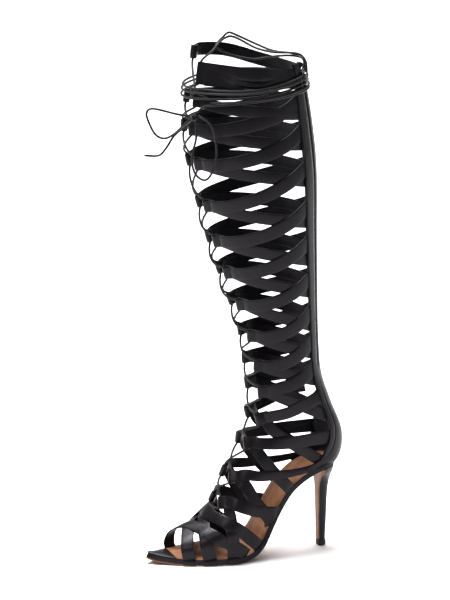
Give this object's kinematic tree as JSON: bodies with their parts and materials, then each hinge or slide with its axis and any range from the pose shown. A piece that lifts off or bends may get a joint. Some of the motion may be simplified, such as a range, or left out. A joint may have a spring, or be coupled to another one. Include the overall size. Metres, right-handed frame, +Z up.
{
  "type": "lace-up stiletto sandal",
  "caption": "Left knee-high gladiator sandal: leather straps laced up the front, back zip, pointed sole and stiletto heel.",
  "frame": {"origin": "middle of the heel tip's ground face, on the floor", "axes": "+Z up the shaft, -X towards the toe, -Y towards the outer side of the left foot"},
  "size_m": [0.2208, 0.1101, 0.5347],
  "materials": {
    "black_leather": "smooth, soft sheen",
    "tan_leather": "smooth, waxed edge",
    "insole_leather": "smooth black rand with a tan sock",
    "top_piece_rubber": "matte",
    "lace_cord": "round waxed cord",
    "dark_nickel": "dark plated"
  },
  "bodies": {
    "shoe": {"outsole": "tan_leather", "insole_board": "insole_leather", "heel": "black_leather", "heel_breast_strip": "tan_leather", "heel_top_piece": "top_piece_rubber", "upper": "black_leather", "lace_crossing_00": "lace_cord", "lace_crossing_01": "lace_cord", "lace_crossing_02": "lace_cord", "lace_crossing_03": "lace_cord", "lace_crossing_04": "lace_cord", "lace_crossing_05": "lace_cord", "lace_crossing_06": "lace_cord", "lace_crossing_07": "lace_cord", "lace_crossing_08": "lace_cord", "lace_crossing_09": "lace_cord", "lace_crossing_10": "lace_cord", "lace_crossing_11": "lace_cord", "lace_crossing_12": "lace_cord", "lace_crossing_13": "lace_cord", "lace_toe_bar": "lace_cord", "lace_wraps": "lace_cord", "lace_knot": "lace_cord", "lace_bow_loop_back": "lace_cord", "lace_bow_loop_front": "lace_cord", "lace_free_end": "lace_cord", "lace_slack": "lace_cord", "lace_collar_run": "lace_cord", "zip_teeth": "dark_nickel", "zip_slider": "dark_nickel"},
    "zip_pull_tab": {"zip_pull": "dark_nickel"}
  },
  "joints": [
    {"name": "zip_pull_swing", "type": "hinge", "parent": "shoe", "child": "zip_pull_tab", "pos_m": [-0.03057, -0.03129, 0.50106], "axis": [-0.5958, -0.7994, -0.0767], "range_deg": [0, 150]}
  ]
}
